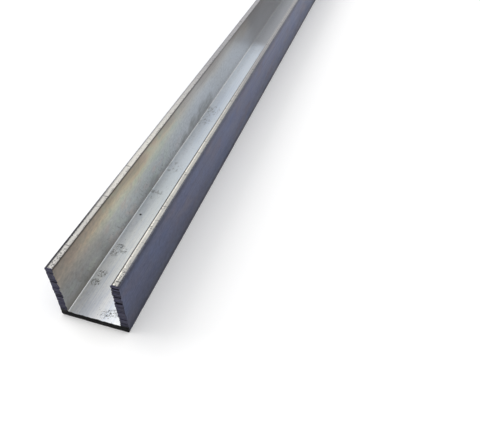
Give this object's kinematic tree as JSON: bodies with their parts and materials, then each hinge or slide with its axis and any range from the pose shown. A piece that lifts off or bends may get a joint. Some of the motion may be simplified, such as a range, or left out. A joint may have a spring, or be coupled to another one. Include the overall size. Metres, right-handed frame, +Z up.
{
  "type": "metal channel section",
  "caption": "Straight length of extruded aluminium U channel with square flanges, crisp edges, worn lips and hand-sawn ends, for edging, framing and guiding a panel.",
  "frame": {"origin": "middle of the underside of the web, halfway along the bar", "axes": "+Z up out of the groove, +Y along the length, +X across the web towards the right flange"},
  "size_m": [0.02, 0.5, 0.02],
  "materials": {
    "mill_aluminium": "mill finish with fine die lines, dulled and stained in places, sawn dark at the ends"
  },
  "bodies": {
    "root": {"channel": "mill_aluminium"}
  },
  "joints": []
}
